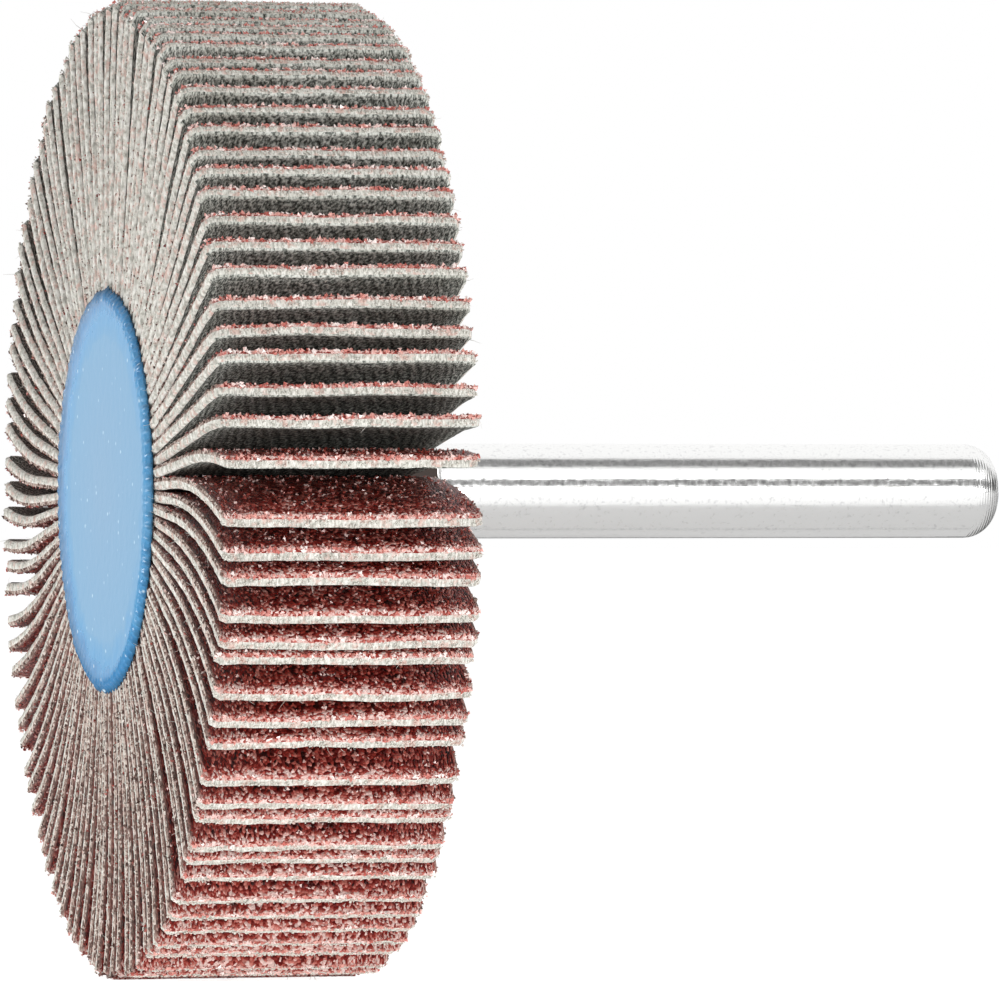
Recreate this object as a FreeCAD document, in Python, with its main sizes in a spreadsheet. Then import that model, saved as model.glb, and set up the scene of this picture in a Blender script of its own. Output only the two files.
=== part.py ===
import FreeCAD, Part
import math
import os

import Sketcher

# A mounted flap wheel: a ring of coated cloth flaps cast into a resin core on a plain steel shank.
# X is the spin axis, towards the free end of the shank. The origin is on that axis where the free
# shank leaves its collar, and Z is up. All sizes are in millimetres.

Vector = FreeCAD.Vector

SIZES = {
    "wheel_diameter": 61.0,
    "flap_width": 16.0,
    "flap_thickness": 0.7,
    "flap_pairs": 52,
    "glue_line": 0.05,
    "foot_depth": 2.0,
    "curl_radius": 36.0,
    "curl_reach": 11.6,
    "grain_curl_radius": 38.0,
    "front_skin": 0.4,
    "rear_skin": 0.4,
    "skin_edge": 0.25,
    "boss_length": 3.8,
    "boss_base_radius": 6.0,
    "boss_nose_radius": 4.4,
    "boss_bevel": 0.9,
    "shank_diameter": 6.0,
    "shank_free_length": 37.4,
    "shank_end_radius": 2.0,
    "collar_length": 0.6,
    "collar_radius": 3.6,
    "collar_chamfer": 0.3,
    "anchor_length": 17.0,
    "groove_inset": 2.7,
    "groove_width": 1.2,
    "groove_depth": 0.5,
    "groove_pitch": 3.2,
    "groove_count": 2,
}

doc = FreeCAD.newDocument("flap_wheel")
sheet = doc.addObject("Spreadsheet::Sheet", "sizes")
for row, (alias, number) in enumerate(SIZES.items(), start=1):
    sheet.set("A%d" % row, alias.replace("_", " "))
    sheet.set("B%d" % row, str(number))
    sheet.setAlias("B%d" % row, alias)
doc.recompute()

# Sizes that follow from the driving ones. The flap bundle is squeezed solid where the flaps meet,
# which sets the seat radius, and each foot below it is a wedge with one glue line beside it.
FLAP_HALF_ANGLE = "(90 / sizes.flap_pairs)"
SEAT = "((sizes.flap_thickness + sizes.glue_line) / (2 * tan(%s)))" % FLAP_HALF_ANGLE
DRUM = "(%s - sizes.foot_depth)" % SEAT
FOOT = "(2 * %s * tan(%s) - sizes.glue_line)" % (DRUM, FLAP_HALF_ANGLE)
BOSS_BACK = "(sizes.collar_length)"
FLAP_BACK = "(%s + sizes.boss_length + sizes.rear_skin)" % BOSS_BACK
FLAP_FRONT = "(%s + sizes.flap_width)" % FLAP_BACK
CORE_FRONT = "(%s + sizes.front_skin)" % FLAP_FRONT
SHANK_RADIUS = "(sizes.shank_diameter / 2)"
ANCHOR_END = "(%s + sizes.anchor_length)" % BOSS_BACK
RIM = "(sizes.wheel_diameter / 2)"


def number(expression):
    result = sheet.evalExpression(expression)
    return float(getattr(result, "Value", result))


def origin_feature(body, role):
    return [f for f in body.Origin.OriginFeatures if f.Role == role][0]


def new_body(label):
    body = doc.addObject("PartDesign::Body", label)
    body.Label = label
    return body


def new_sketch(body, name, role):
    sketch = body.newObject("Sketcher::SketchObject", name)
    sketch.AttachmentSupport = [(origin_feature(body, role), "")]
    sketch.MapMode = "FlatFace"
    return sketch


def bind(sketch, kind, places, name, expression):
    index = sketch.addConstraint(Sketcher.Constraint(kind, *places, number(expression)))
    sketch.renameConstraint(index, name)
    sketch.setExpression("Constraints." + name, expression)


# A closed outline of straight lines. Each corner's two distances from the sketch's own axes are
# bound to the sheet, and a corner at distance "0" lies on the axis itself.
def outline(sketch, corners):
    points = [Vector(number(across), number(up), 0) for across, up in corners]
    for index, point in enumerate(points):
        sketch.addGeometry(Part.LineSegment(point, points[(index + 1) % len(points)]), False)
    for index, (across, up) in enumerate(corners):
        following = (index + 1) % len(corners)
        sketch.addConstraint(Sketcher.Constraint("Coincident", index, 2, following, 1))
        if across == "0":
            sketch.addConstraint(Sketcher.Constraint("PointOnObject", index, 1, -2))
        else:
            bind(sketch, "DistanceX", (-1, 1, index, 1), "across_%d" % index, across)
        if up == "0":
            sketch.addConstraint(Sketcher.Constraint("PointOnObject", index, 1, -1))
        else:
            bind(sketch, "DistanceY", (-1, 1, index, 1), "up_%d" % index, up)


def turned(body, name, corners, start):
    sketch = new_sketch(body, name + "_outline", "XZ_Plane")
    sketch.setExpression(".AttachmentOffset.Base.x", start)
    outline(sketch, corners)
    revolution = body.newObject("PartDesign::Revolution", name)
    revolution.Profile = sketch
    revolution.ReferenceAxis = (origin_feature(body, "X_Axis"), [""])
    revolution.Angle = 360
    return revolution


# A rounding or a bevel on the edges of a feature that a test of the edge picks out.
def softened(body, kind, name, base, size, picks):
    doc.recompute()
    names = ["Edge%d" % (i + 1) for i, edge in enumerate(base.Shape.Edges) if picks(edge)]
    feature = body.newObject("PartDesign::" + kind, name)
    feature.Base = (base, names)
    feature.setExpression({"Fillet": "Radius", "Chamfer": "Size"}[kind], size)
    body.Tip = feature
    return feature


# True for a circle about the X axis at this place and radius.
def is_ring(edge, place, radius):
    curve = edge.Curve
    if not isinstance(curve, Part.Circle):
        return False
    centred = math.hypot(curve.Center.y, curve.Center.z) < 0.001
    return centred and abs(curve.Center.x - place) < 0.001 and abs(curve.Radius - radius) < 0.001


# The back and front of each groove in the buried shank, as distances in front of the origin. The
# last one is set in from the buried end, and the others follow behind it.
def groove_edges():
    count = int(number("sizes.groove_count"))
    edges = []
    for behind in reversed(range(count)):
        front = "(%s - sizes.groove_inset - sizes.groove_pitch * %d)" % (ANCHOR_END, behind)
        edges.append(("(%s - sizes.groove_width)" % front, front))
    return edges


# Corner list of the buried shank from the collar inwards, shared by the shank and the core's bore.
# Each place is its distance behind the front end of the piece, the datum.
def anchor_corners(datum):
    floor = "(%s - sizes.groove_depth)" % SHANK_RADIUS
    corners = [("%s - %s" % (datum, BOSS_BACK), SHANK_RADIUS)]
    for back, front in groove_edges():
        corners.append(("%s - %s" % (datum, back), SHANK_RADIUS))
        corners.append(("%s - %s" % (datum, back), floor))
        corners.append(("%s - %s" % (datum, front), floor))
        corners.append(("%s - %s" % (datum, front), SHANK_RADIUS))
    if datum == ANCHOR_END:
        inner_end = "0"
    else:
        inner_end = "%s - %s" % (datum, ANCHOR_END)
    corners.append((inner_end, SHANK_RADIUS))
    corners.append((inner_end, "0"))
    return corners


# Resin core: a drum that the feet stand on, a thin skin over their front and back edges, and a
# conical boss round the shank. It is cast round the buried shank.
def make_core():
    body = new_body("resin_core")
    datum = CORE_FRONT
    front_of_flaps = "sizes.front_skin"
    back_of_flaps = "(sizes.front_skin + sizes.flap_width)"
    back_face = "(%s + sizes.rear_skin)" % back_of_flaps
    corners = [
        ("0", "0"),
        ("0", SEAT),
        (front_of_flaps, SEAT),
        (front_of_flaps, DRUM),
        (back_of_flaps, DRUM),
        (back_of_flaps, SEAT),
        (back_face, SEAT),
        (back_face, "sizes.boss_base_radius"),
        ("%s - %s" % (datum, BOSS_BACK), "sizes.boss_nose_radius"),
    ]
    core = turned(body, "core", corners + anchor_corners(datum), "-" + datum)

    seat = number(SEAT)
    outer_edges = [-number(CORE_FRONT), -number(FLAP_BACK) + number("sizes.rear_skin")]
    core = softened(
        body, "Chamfer", "skin_edges", core, "sizes.skin_edge",
        lambda edge: any(is_ring(edge, place, seat) for place in outer_edges),
    )
    boss_base = number("sizes.boss_base_radius")
    softened(
        body, "Chamfer", "boss_foot", core, "sizes.boss_bevel",
        lambda edge: is_ring(edge, outer_edges[1], boss_base),
    )
    return body


# Shank: a turned steel pin with a narrow collar, a rounded free end, and grooves that key it
# into the resin.
def make_shank():
    body = new_body("shank")
    datum = ANCHOR_END
    buried = anchor_corners(datum)
    tip = "(%s + sizes.shank_free_length)" % datum
    corners = list(reversed(buried)) + [
        ("%s - %s" % (datum, BOSS_BACK), "sizes.collar_radius"),
        ("%s - sizes.collar_chamfer" % datum, "sizes.collar_radius"),
        (datum, "(sizes.collar_radius - sizes.collar_chamfer)"),
        (datum, SHANK_RADIUS),
        (tip, SHANK_RADIUS),
        (tip, "0"),
    ]
    shank = turned(body, "shank_turning", corners, "-" + datum)
    end = number("sizes.shank_free_length")
    radius = number(SHANK_RADIUS)
    softened(
        body, "Fillet", "rounded_end", shank, "sizes.shank_end_radius",
        lambda edge: is_ring(edge, end, radius),
    )
    return body


# How far in from its tip a flap begins to curl, as a share of the usual reach. The flaps part at
# the front of the wheel: the one just below the parting lies over most, and the curl eases all the
# way round. The first ones above the parting are drawn down after it. Hand-set flaps are also
# uneven, as two waves round the wheel (share, radians per flap, start) give.
PARTING = 79
MOST_SHARE = 1.2
LEAST_SHARE = 0.3
EASING = 1.4
DRAWN_SHARE = 0.6
UNEVEN_WAVES = ((0.08, 2.1, 0.0), (0.06, 0.83, 0.6))


def reach_share(index):
    count = 2 * int(number("sizes.flap_pairs"))
    way_round = ((PARTING - index) % count) / (count - 1)
    share = MOST_SHARE - (MOST_SHARE - LEAST_SHARE) * way_round ** EASING
    share += DRAWN_SHARE * math.exp(-((index - PARTING - 1) % count))
    for height, turn, start in UNEVEN_WAVES:
        share += height * math.sin(turn * index + start)
    return share


# Where two circles meet, one about the sketch origin, the other about a centre to its left.
def meeting_point(centre, radius, about_origin):
    distance = centre.Length
    along = (about_origin ** 2 - radius ** 2 + distance ** 2) / (2 * distance)
    aside = math.sqrt(about_origin ** 2 - along ** 2)
    unit = centre / distance
    return Vector(unit.x * along + unit.y * aside, unit.y * along - unit.x * aside, 0)


# Outline of one flap, standing on its foot: a wedge foot, a straight stretch, then a curl to the
# left that ends on the wheel's outer circle. The cloth is on the left and the grain on the right,
# where a slacker curl lets the sheet swell towards its tip.
def flap_outline(sketch, curl_start):
    half = number("sizes.flap_thickness") / 2
    foot = number(FOOT) / 2
    drum = number(DRUM)
    seat = number(SEAT)
    start = number(curl_start)
    cloth_curl = number("sizes.curl_radius")
    grain_curl = number("sizes.grain_curl_radius")
    rim = number(RIM)
    cloth_centre = Vector(-half - cloth_curl, start, 0)
    grain_centre = Vector(half - grain_curl, start, 0)
    cloth_tip = meeting_point(cloth_centre, cloth_curl, rim)
    grain_tip = meeting_point(grain_centre, grain_curl, rim)
    normal = Vector(0, 0, 1)

    def curl_arc(centre, radius, tip):
        angle = math.atan2(tip.y - centre.y, tip.x - centre.x)
        return Part.ArcOfCircle(Part.Circle(centre, normal, radius), 0, angle)

    def line(x_1, y_1, x_2, y_2):
        return Part.LineSegment(Vector(x_1, y_1, 0), Vector(x_2, y_2, 0))

    grain_angle = math.atan2(grain_tip.y, grain_tip.x)
    cloth_angle = math.atan2(cloth_tip.y, cloth_tip.x)
    sketch.addGeometry(
        [
            line(-foot, drum, foot, drum),
            line(foot, drum, half, seat),
            line(half, seat, half, start),
            curl_arc(grain_centre, grain_curl, grain_tip),
            Part.ArcOfCircle(Part.Circle(Vector(), normal, rim), grain_angle, cloth_angle),
            curl_arc(cloth_centre, cloth_curl, cloth_tip),
            line(-half, start, -half, seat),
            line(-half, seat, -foot, drum),
        ],
        False,
    )
    base, foot_right, right, grain, tip, cloth, left, foot_left = range(8)
    joints = [
        (base, 2, foot_right, 1), (foot_right, 2, right, 1), (right, 2, grain, 1),
        (grain, 2, tip, 1), (tip, 2, cloth, 2), (cloth, 1, left, 1),
        (left, 2, foot_left, 1), (foot_left, 2, base, 1), (tip, 3, -1, 1),
    ]
    rules = [Sketcher.Constraint("Coincident", *joint) for joint in joints]
    for pair in ((base, 1, base, 2), (left, 2, right, 1), (left, 1, right, 2)):
        rules.append(Sketcher.Constraint("Symmetric", *pair, -2))
    rules.append(Sketcher.Constraint("Vertical", right))
    rules.append(Sketcher.Constraint("Horizontal", cloth, 3, cloth, 1))
    rules.append(Sketcher.Constraint("Horizontal", grain, 3, grain, 1))
    sketch.addConstraint(rules)
    bind(sketch, "DistanceX", (base, 1, base, 2), "foot", FOOT)
    bind(sketch, "DistanceX", (left, 2, right, 1), "thickness", "sizes.flap_thickness")
    bind(sketch, "DistanceY", (-1, 1, base, 1), "drum", DRUM)
    bind(sketch, "DistanceY", (-1, 1, left, 2), "seat", SEAT)
    bind(sketch, "DistanceY", (-1, 1, left, 1), "curl_start", curl_start)
    bind(sketch, "DistanceX", (cloth, 3, cloth, 1), "cloth_curl", "sizes.curl_radius")
    bind(sketch, "DistanceX", (grain, 3, grain, 1), "grain_curl", "sizes.grain_curl_radius")
    bind(sketch, "Radius", (tip,), "rim", RIM)


# Two neighbouring flaps, each a sheet of its own, half a pitch to either side of the pair's middle.
def make_flap_pair(pair):
    label = "flap_pair_%02d" % (pair + 1)
    body = new_body(label)
    for side in (0, 1):
        index = 2 * pair + side
        sketch = new_sketch(body, "%s_outline_%d" % (label, side + 1), "YZ_Plane")
        turn = "%s%s * 1 deg" % ("-" if side else "", FLAP_HALF_ANGLE)
        sketch.AttachmentOffset = FreeCAD.Placement(Vector(), FreeCAD.Rotation(Vector(0, 0, 1), 1))
        sketch.setExpression(".AttachmentOffset.Rotation.Angle", turn)
        sketch.setExpression(".AttachmentOffset.Base.z", "-" + FLAP_FRONT)
        reach = "sizes.curl_reach * %.3f" % reach_share(index)
        flap_outline(sketch, "(%s - %s)" % (RIM, reach))
        pad = body.newObject("PartDesign::Pad", "%s_flap_%d" % (label, side + 1))
        pad.Profile = sketch
        pad.setExpression("Length", "sizes.flap_width")
        body.Tip = pad
    body.Placement = FreeCAD.Placement(Vector(), FreeCAD.Rotation(Vector(1, 0, 0), 1))
    body.setExpression(".Placement.Rotation.Angle", "-%d * 4 * %s * 1 deg" % (pair, FLAP_HALF_ANGLE))
    return body


core = make_core()
shank = make_shank()
pairs = [make_flap_pair(pair) for pair in range(int(number("sizes.flap_pairs")))]
doc.recompute()

nodes = [core, shank] + pairs
for item in doc.Objects:
    if "Invalid" in item.State or "Error" in item.State:
        raise RuntimeError("%s failed: %s" % (item.Label, item.State))
for body in nodes:
    shape = body.Shape
    if shape.isNull() or not shape.isValid() or not shape.Solids:
        raise RuntimeError("%s has no valid shape" % body.Label)

os.makedirs("parts", exist_ok=True)
for body in nodes:
    body.Shape.exportStep("parts/%s.step" % body.Label)
    print(body.Label, len(body.Shape.Solids), "solids", round(body.Shape.Volume, 2), "mm3")
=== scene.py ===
# A mounted flap wheel: curling flaps of coated cloth cast into a pale blue resin core on a plain
# steel shank, in a white studio. Lengths in the code are in millimetres until a mesh is written.

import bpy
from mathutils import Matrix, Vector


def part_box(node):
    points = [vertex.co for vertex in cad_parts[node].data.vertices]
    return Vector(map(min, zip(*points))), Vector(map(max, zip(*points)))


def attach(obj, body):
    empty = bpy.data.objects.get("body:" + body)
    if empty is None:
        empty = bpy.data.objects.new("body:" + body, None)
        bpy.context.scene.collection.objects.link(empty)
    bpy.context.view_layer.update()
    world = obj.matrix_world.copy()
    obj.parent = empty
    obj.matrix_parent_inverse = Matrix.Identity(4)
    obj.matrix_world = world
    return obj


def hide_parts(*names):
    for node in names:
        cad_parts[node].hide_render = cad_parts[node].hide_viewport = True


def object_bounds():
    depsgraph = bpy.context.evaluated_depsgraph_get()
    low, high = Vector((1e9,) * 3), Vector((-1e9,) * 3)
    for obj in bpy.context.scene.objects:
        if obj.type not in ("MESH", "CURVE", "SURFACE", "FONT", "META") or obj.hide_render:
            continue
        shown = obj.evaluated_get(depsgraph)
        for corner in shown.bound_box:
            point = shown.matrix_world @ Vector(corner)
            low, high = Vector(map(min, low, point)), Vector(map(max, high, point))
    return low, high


bl_info = {
    "name": "Mounted Flap Wheel",
    "version": (1, 0, 0),
    "blender": (4, 5, 0),
    "location": "View3D > Sidebar > Flap Wheel",
    "description": "Dresses the frame of a mounted flap wheel and sets up its studio",
    "category": "Add Mesh",
}

import math

import bpy
import numpy
from mathutils import Vector, noise

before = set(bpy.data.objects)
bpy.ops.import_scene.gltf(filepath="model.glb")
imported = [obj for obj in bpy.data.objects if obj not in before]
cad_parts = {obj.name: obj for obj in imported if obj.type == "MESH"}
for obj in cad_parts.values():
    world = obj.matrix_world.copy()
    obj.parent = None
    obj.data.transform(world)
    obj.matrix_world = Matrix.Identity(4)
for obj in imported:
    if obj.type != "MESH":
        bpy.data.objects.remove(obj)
FIRST_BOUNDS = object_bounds()

MM = 0.001

CORE_LOW, CORE_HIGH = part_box("resin_core")
SHANK_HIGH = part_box("shank")[1]
FLAP_LOW, FLAP_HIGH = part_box("flap_pair_01")
FLAP_NODES = sorted(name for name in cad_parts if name.startswith("flap_pair"))
FLAP_COUNT = 2 * len(FLAP_NODES)
PITCH = 2 * math.pi / FLAP_COUNT

# The flap blank: rows run from root to tip and columns from the rear edge to the front edge. Its
# layers, as shares of the thickness, are the cloth's worn face, the rest of it and the grain.
COLUMNS = 26
ROWS = 24
LAYERS = (0.0, 0.12, 0.69, 1.0)
GRAIN_FROM = LAYERS[2]
TWILL, GRAIN, CUT_CLOTH, CUT_GRAIN, CRYSTAL, TIP_CRYSTAL, FIBRE = range(7)

# How far the cut edge stands out at each layer, in millimetres.
EDGE_PROFILE = (-0.22, -0.05, 0.0, -0.08)

# How far astray a flap is set along the axis, how far it falls short or stands out at its tip, and
# how deep inside the core's edge its visible root begins, in millimetres.
SET_ASTRAY = (-0.08, 0.08)
LENGTH_ASTRAY = (-0.25, 0.1)
ROOT_DEPTH = 0.35

# The height and length of a bent sheet's bellies, of the lumps on its faces and of the rags at its
# cut edges, in millimetres.
BELLY_HEIGHT, BELLY_LENGTH = 0.16, 6.0
GRAIN_LUMPS, CLOTH_LUMPS, LUMP_LENGTH = 0.06, -0.04, 0.9
SIDE_RAGS, TIP_RAGS, RAG_LENGTH = 0.05, 0.12, 0.7


def linear(code):
    """An sRGB hex colour, such as "9CC3DF", as linear RGBA."""
    parts = [int(code[place:place + 2], 16) / 255 for place in (0, 2, 4)]
    return [c / 12.92 if c <= 0.04045 else ((c + 0.055) / 1.055) ** 2.4 for c in parts] + [1.0]


class FlapSizes(bpy.types.PropertyGroup):
    rim: bpy.props.FloatProperty(
        name="Rim radius", description="Radius of the circle that the tips end on",
        default=FIRST_BOUNDS[1][2], unit="LENGTH", precision=5)
    front: bpy.props.FloatProperty(
        name="Front edge", description="Place of the flaps' front edges along the axis",
        default=FLAP_LOW.x, unit="LENGTH", precision=5)
    back: bpy.props.FloatProperty(
        name="Rear edge", description="Place of the flaps' rear edges along the axis",
        default=FLAP_HIGH.x, unit="LENGTH", precision=5)
    thickness: bpy.props.FloatProperty(
        name="Thickness", description="Thickness of the coated cloth at its root",
        default=0.7 * MM, unit="LENGTH", precision=5)
    cloth_curl: bpy.props.FloatProperty(
        name="Cloth curl", description="Radius of the curl on the cloth side",
        default=36.0 * MM, unit="LENGTH", precision=5)
    grain_curl: bpy.props.FloatProperty(
        name="Grain curl", description="Radius of the curl on the grain side",
        default=38.0 * MM, unit="LENGTH", precision=5)
    reach: bpy.props.FloatProperty(
        name="Curl reach", description="How far in from the rim a usual flap begins to curl",
        default=11.6 * MM, unit="LENGTH", precision=5)
    corner: bpy.props.FloatProperty(
        name="Corner radius", description="Wear on a flap's outer corners",
        default=0.3 * MM, unit="LENGTH", precision=5)
    grit: bpy.props.FloatProperty(
        name="Grit", description="Size of a loose abrasive crystal",
        default=0.19 * MM, unit="LENGTH", precision=5)
    tuft: bpy.props.FloatProperty(
        name="Tuft", description="Size of a tuft of cut thread at an edge",
        default=0.16 * MM, unit="LENGTH", precision=5)


class ResinSizes(bpy.types.PropertyGroup):
    coat: bpy.props.FloatProperty(
        name="Front coat", description="Thickness of the poured coat over the core's front face",
        default=0.06 * MM, unit="LENGTH", precision=5)
    creep: bpy.props.FloatProperty(
        name="Creep", description="How far the resin creeps out over the flaps' roots",
        default=0.35 * MM, unit="LENGTH", precision=5)


class FinishColours(bpy.types.PropertyGroup):
    cloth: bpy.props.FloatVectorProperty(
        name="Cloth", description="The raised threads of the cotton backing",
        default=linear("E6E8E0"), size=4, min=0, max=1, subtype="COLOR")
    grain: bpy.props.FloatVectorProperty(
        name="Grain", description="The middle tone of the abrasive grain",
        default=linear("A1392F"), size=4, min=0, max=1, subtype="COLOR")
    resin: bpy.props.FloatVectorProperty(
        name="Resin", description="The satin middle of the core's front face",
        default=linear("7BABCF"), size=4, min=0, max=1, subtype="COLOR")
    # The hub colour is painted shade: dark brown for the resin behind the flaps, which lies in
    # shadow.
    hub: bpy.props.FloatVectorProperty(
        name="Hub", description="The stained resin behind the flaps",
        default=linear("33261F"), size=4, min=0, max=1, subtype="COLOR")


class StudioSizes(bpy.types.PropertyGroup):
    distance: bpy.props.FloatProperty(
        name="Camera distance", description="From the camera to the point that it looks at",
        default=0.5737, unit="LENGTH")
    aim: bpy.props.FloatProperty(
        name="Aim", description="Where on the spin axis the camera looks",
        default=0.0046, unit="LENGTH", precision=5)
    azimuth: bpy.props.FloatProperty(
        name="Camera azimuth", description="Turn of the view from the Y axis",
        default=math.radians(-15.47), unit="ROTATION")
    lens: bpy.props.FloatProperty(
        name="Lens", description="Focal length on a 36 mm sensor", default=327.06, unit="CAMERA")
    key: bpy.props.FloatProperty(
        name="Key light", description="Power of the light beside the camera",
        default=1.9, unit="POWER")
    left: bpy.props.FloatProperty(
        name="Left light", description="Power of the light on the wheel's front face",
        default=2.05, unit="POWER")
    low: bpy.props.FloatProperty(
        name="Light table", description="Power of the light under the wheel",
        default=0.26, unit="POWER")
    sky: bpy.props.FloatProperty(
        name="Ambient", description="Level of the even light from all round", default=0.26)


def node(tree, kind, inputs=None, stops=None, **settings):
    """Adds a node. inputs gives each socket a value or another node's output; stops fill a ramp."""
    item = tree.nodes.new(kind)
    for name, value in settings.items():
        setattr(item, name, value)
    for socket, value in (inputs or {}).items():
        if isinstance(value, bpy.types.NodeSocket):
            tree.links.new(value, item.inputs[socket])
        else:
            item.inputs[socket].default_value = value
    for place, (position, colour) in enumerate(stops or ()):
        elements = item.color_ramp.elements
        element = elements[place] if place < 2 else elements.new(position)
        element.position = position
        element.color = colour
    return item


def new_material(name):
    material = bpy.data.materials.new(name)
    material.use_nodes = True
    tree = material.node_tree
    tree.nodes.clear()
    return material, tree


def finish_material(tree, inputs):
    shader = node(tree, "ShaderNodeBsdfPrincipled", inputs)
    node(tree, "ShaderNodeOutputMaterial", {"Surface": shader.outputs[0]})


# How many times a pattern repeats in a metre when one repeat is this many millimetres.
def per_metre(millimetres):
    return 1 / (millimetres * MM)


# Two factors: one at a flap's front and rear edges and one at its tip, each falling to nothing this
# many millimetres in from them.
def near_cut_edges(tree, sizes, side_reach, tip_reach):
    uv = node(tree, "ShaderNodeUVMap", uv_map="flap")
    axes = node(tree, "ShaderNodeSeparateXYZ", {0: uv.outputs[0]})
    width = (sizes.back - sizes.front) / MM
    length = (sizes.rim - CORE_HIGH.z) / MM
    from_middle = node(tree, "ShaderNodeMath", {0: axes.outputs[0], 1: 0.5}, operation="SUBTRACT")
    aside = node(tree, "ShaderNodeMath", {0: from_middle.outputs[0]}, operation="ABSOLUTE")
    at_side = node(tree, "ShaderNodeMapRange", {
        "Value": aside.outputs[0], "From Min": 0.5 - side_reach / width, "From Max": 0.5})
    at_tip = node(tree, "ShaderNodeMapRange", {
        "Value": axes.outputs[1], "From Min": 1 - tip_reach / length, "From Max": 1.0})
    return at_side.outputs[0], at_tip.outputs[0]


# The flap's own flat coordinates in millimetres, across and along, drawn out along its length.
def weave_coordinates(tree, drawn_out):
    uv = node(tree, "ShaderNodeUVMap", uv_map="weave")
    return node(tree, "ShaderNodeMapping", {"Vector": uv.outputs[0],
                                            "Scale": (1, 1 / drawn_out, 1)}).outputs[0]


# Cotton twill, sized and worn: a matt off-white cloth of short tufts in slanting rows, with dark
# hollows between them, painted paler at its tip as painted light and darker at its sides as painted
# shade.
def twill_material(sizes, colours):
    material, tree = new_material("cotton_twill_backing")
    tuft_size = 0.15
    row = 0.5
    # A wave texture at scale 1 repeats once in this length.
    wave_repeat = 0.314
    weave = weave_coordinates(tree, 3.2)
    slant = node(tree, "ShaderNodeMapping", {"Vector": weave, "Rotation": (0, 0, math.radians(35))})
    rows = node(tree, "ShaderNodeTexWave",
                {"Vector": slant.outputs[0], "Scale": wave_repeat / row, "Distortion": 3.0,
                 "Detail": 2.0, "Detail Scale": 2.4})
    place = node(tree, "ShaderNodeTexCoord").outputs["Object"]
    tufts = node(tree, "ShaderNodeTexNoise",
                 {"Vector": weave, "Scale": 1 / tuft_size, "Detail": 2.0, "Roughness": 0.6},
                 noise_dimensions="2D")
    soft_rows = node(tree, "ShaderNodeMath", {0: rows.outputs["Fac"], 1: 0.12},
                     operation="MULTIPLY")
    height = node(tree, "ShaderNodeMath", {0: tufts.outputs["Fac"], 1: soft_rows.outputs[0]},
                  operation="ADD")
    at_side, at_tip = near_cut_edges(tree, sizes, 0.3, 0.8)
    # Painted light: the cloth is made paler near the tip, where light falls.
    cloth_tip_painted_light = node(tree, "ShaderNodeMath", {0: at_tip, 1: 0.12}, operation="MULTIPLY")
    # Painted shade: the cloth is made darker near the front and rear edges, in the gaps between
    # flaps.
    side_painted_shade = node(tree, "ShaderNodeMath", {0: at_side, 1: -0.1}, operation="MULTIPLY")
    change = node(tree, "ShaderNodeMath", {0: cloth_tip_painted_light.outputs[0], 1: side_painted_shade.outputs[0]},
                  operation="ADD")
    paled = node(tree, "ShaderNodeMath", {0: height.outputs[0], 1: change.outputs[0]},
                 operation="ADD")
    threads = node(tree, "ShaderNodeValToRGB", {"Fac": paled.outputs[0]}, stops=[
        (0.38, linear("383A36")), (0.56, linear("868A83")), (0.76, colours.cloth)])
    stain = node(tree, "ShaderNodeTexNoise",
                 {"Vector": place, "Scale": per_metre(5), "Detail": 3.0, "Roughness": 0.6})
    toned = node(tree, "ShaderNodeValToRGB", {"Fac": stain.outputs["Fac"]}, stops=[
        (0.36, linear("C8C6C0")), (0.58, linear("FFFFFF"))])
    colour = node(tree, "ShaderNodeMix", {"Factor": 0.6, 6: threads.outputs[0],
                                          7: toned.outputs[0]},
                  data_type="RGBA", blend_type="MULTIPLY")
    bump = node(tree, "ShaderNodeBump", {"Height": height.outputs[0], "Distance": 0.1 * MM,
                                         "Strength": 0.8})
    finish_material(tree, {"Base Color": colour.outputs[2], "Roughness": 0.9,
                           "Specular IOR Level": 0.15, "Normal": bump.outputs[0]})
    return material


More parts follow.
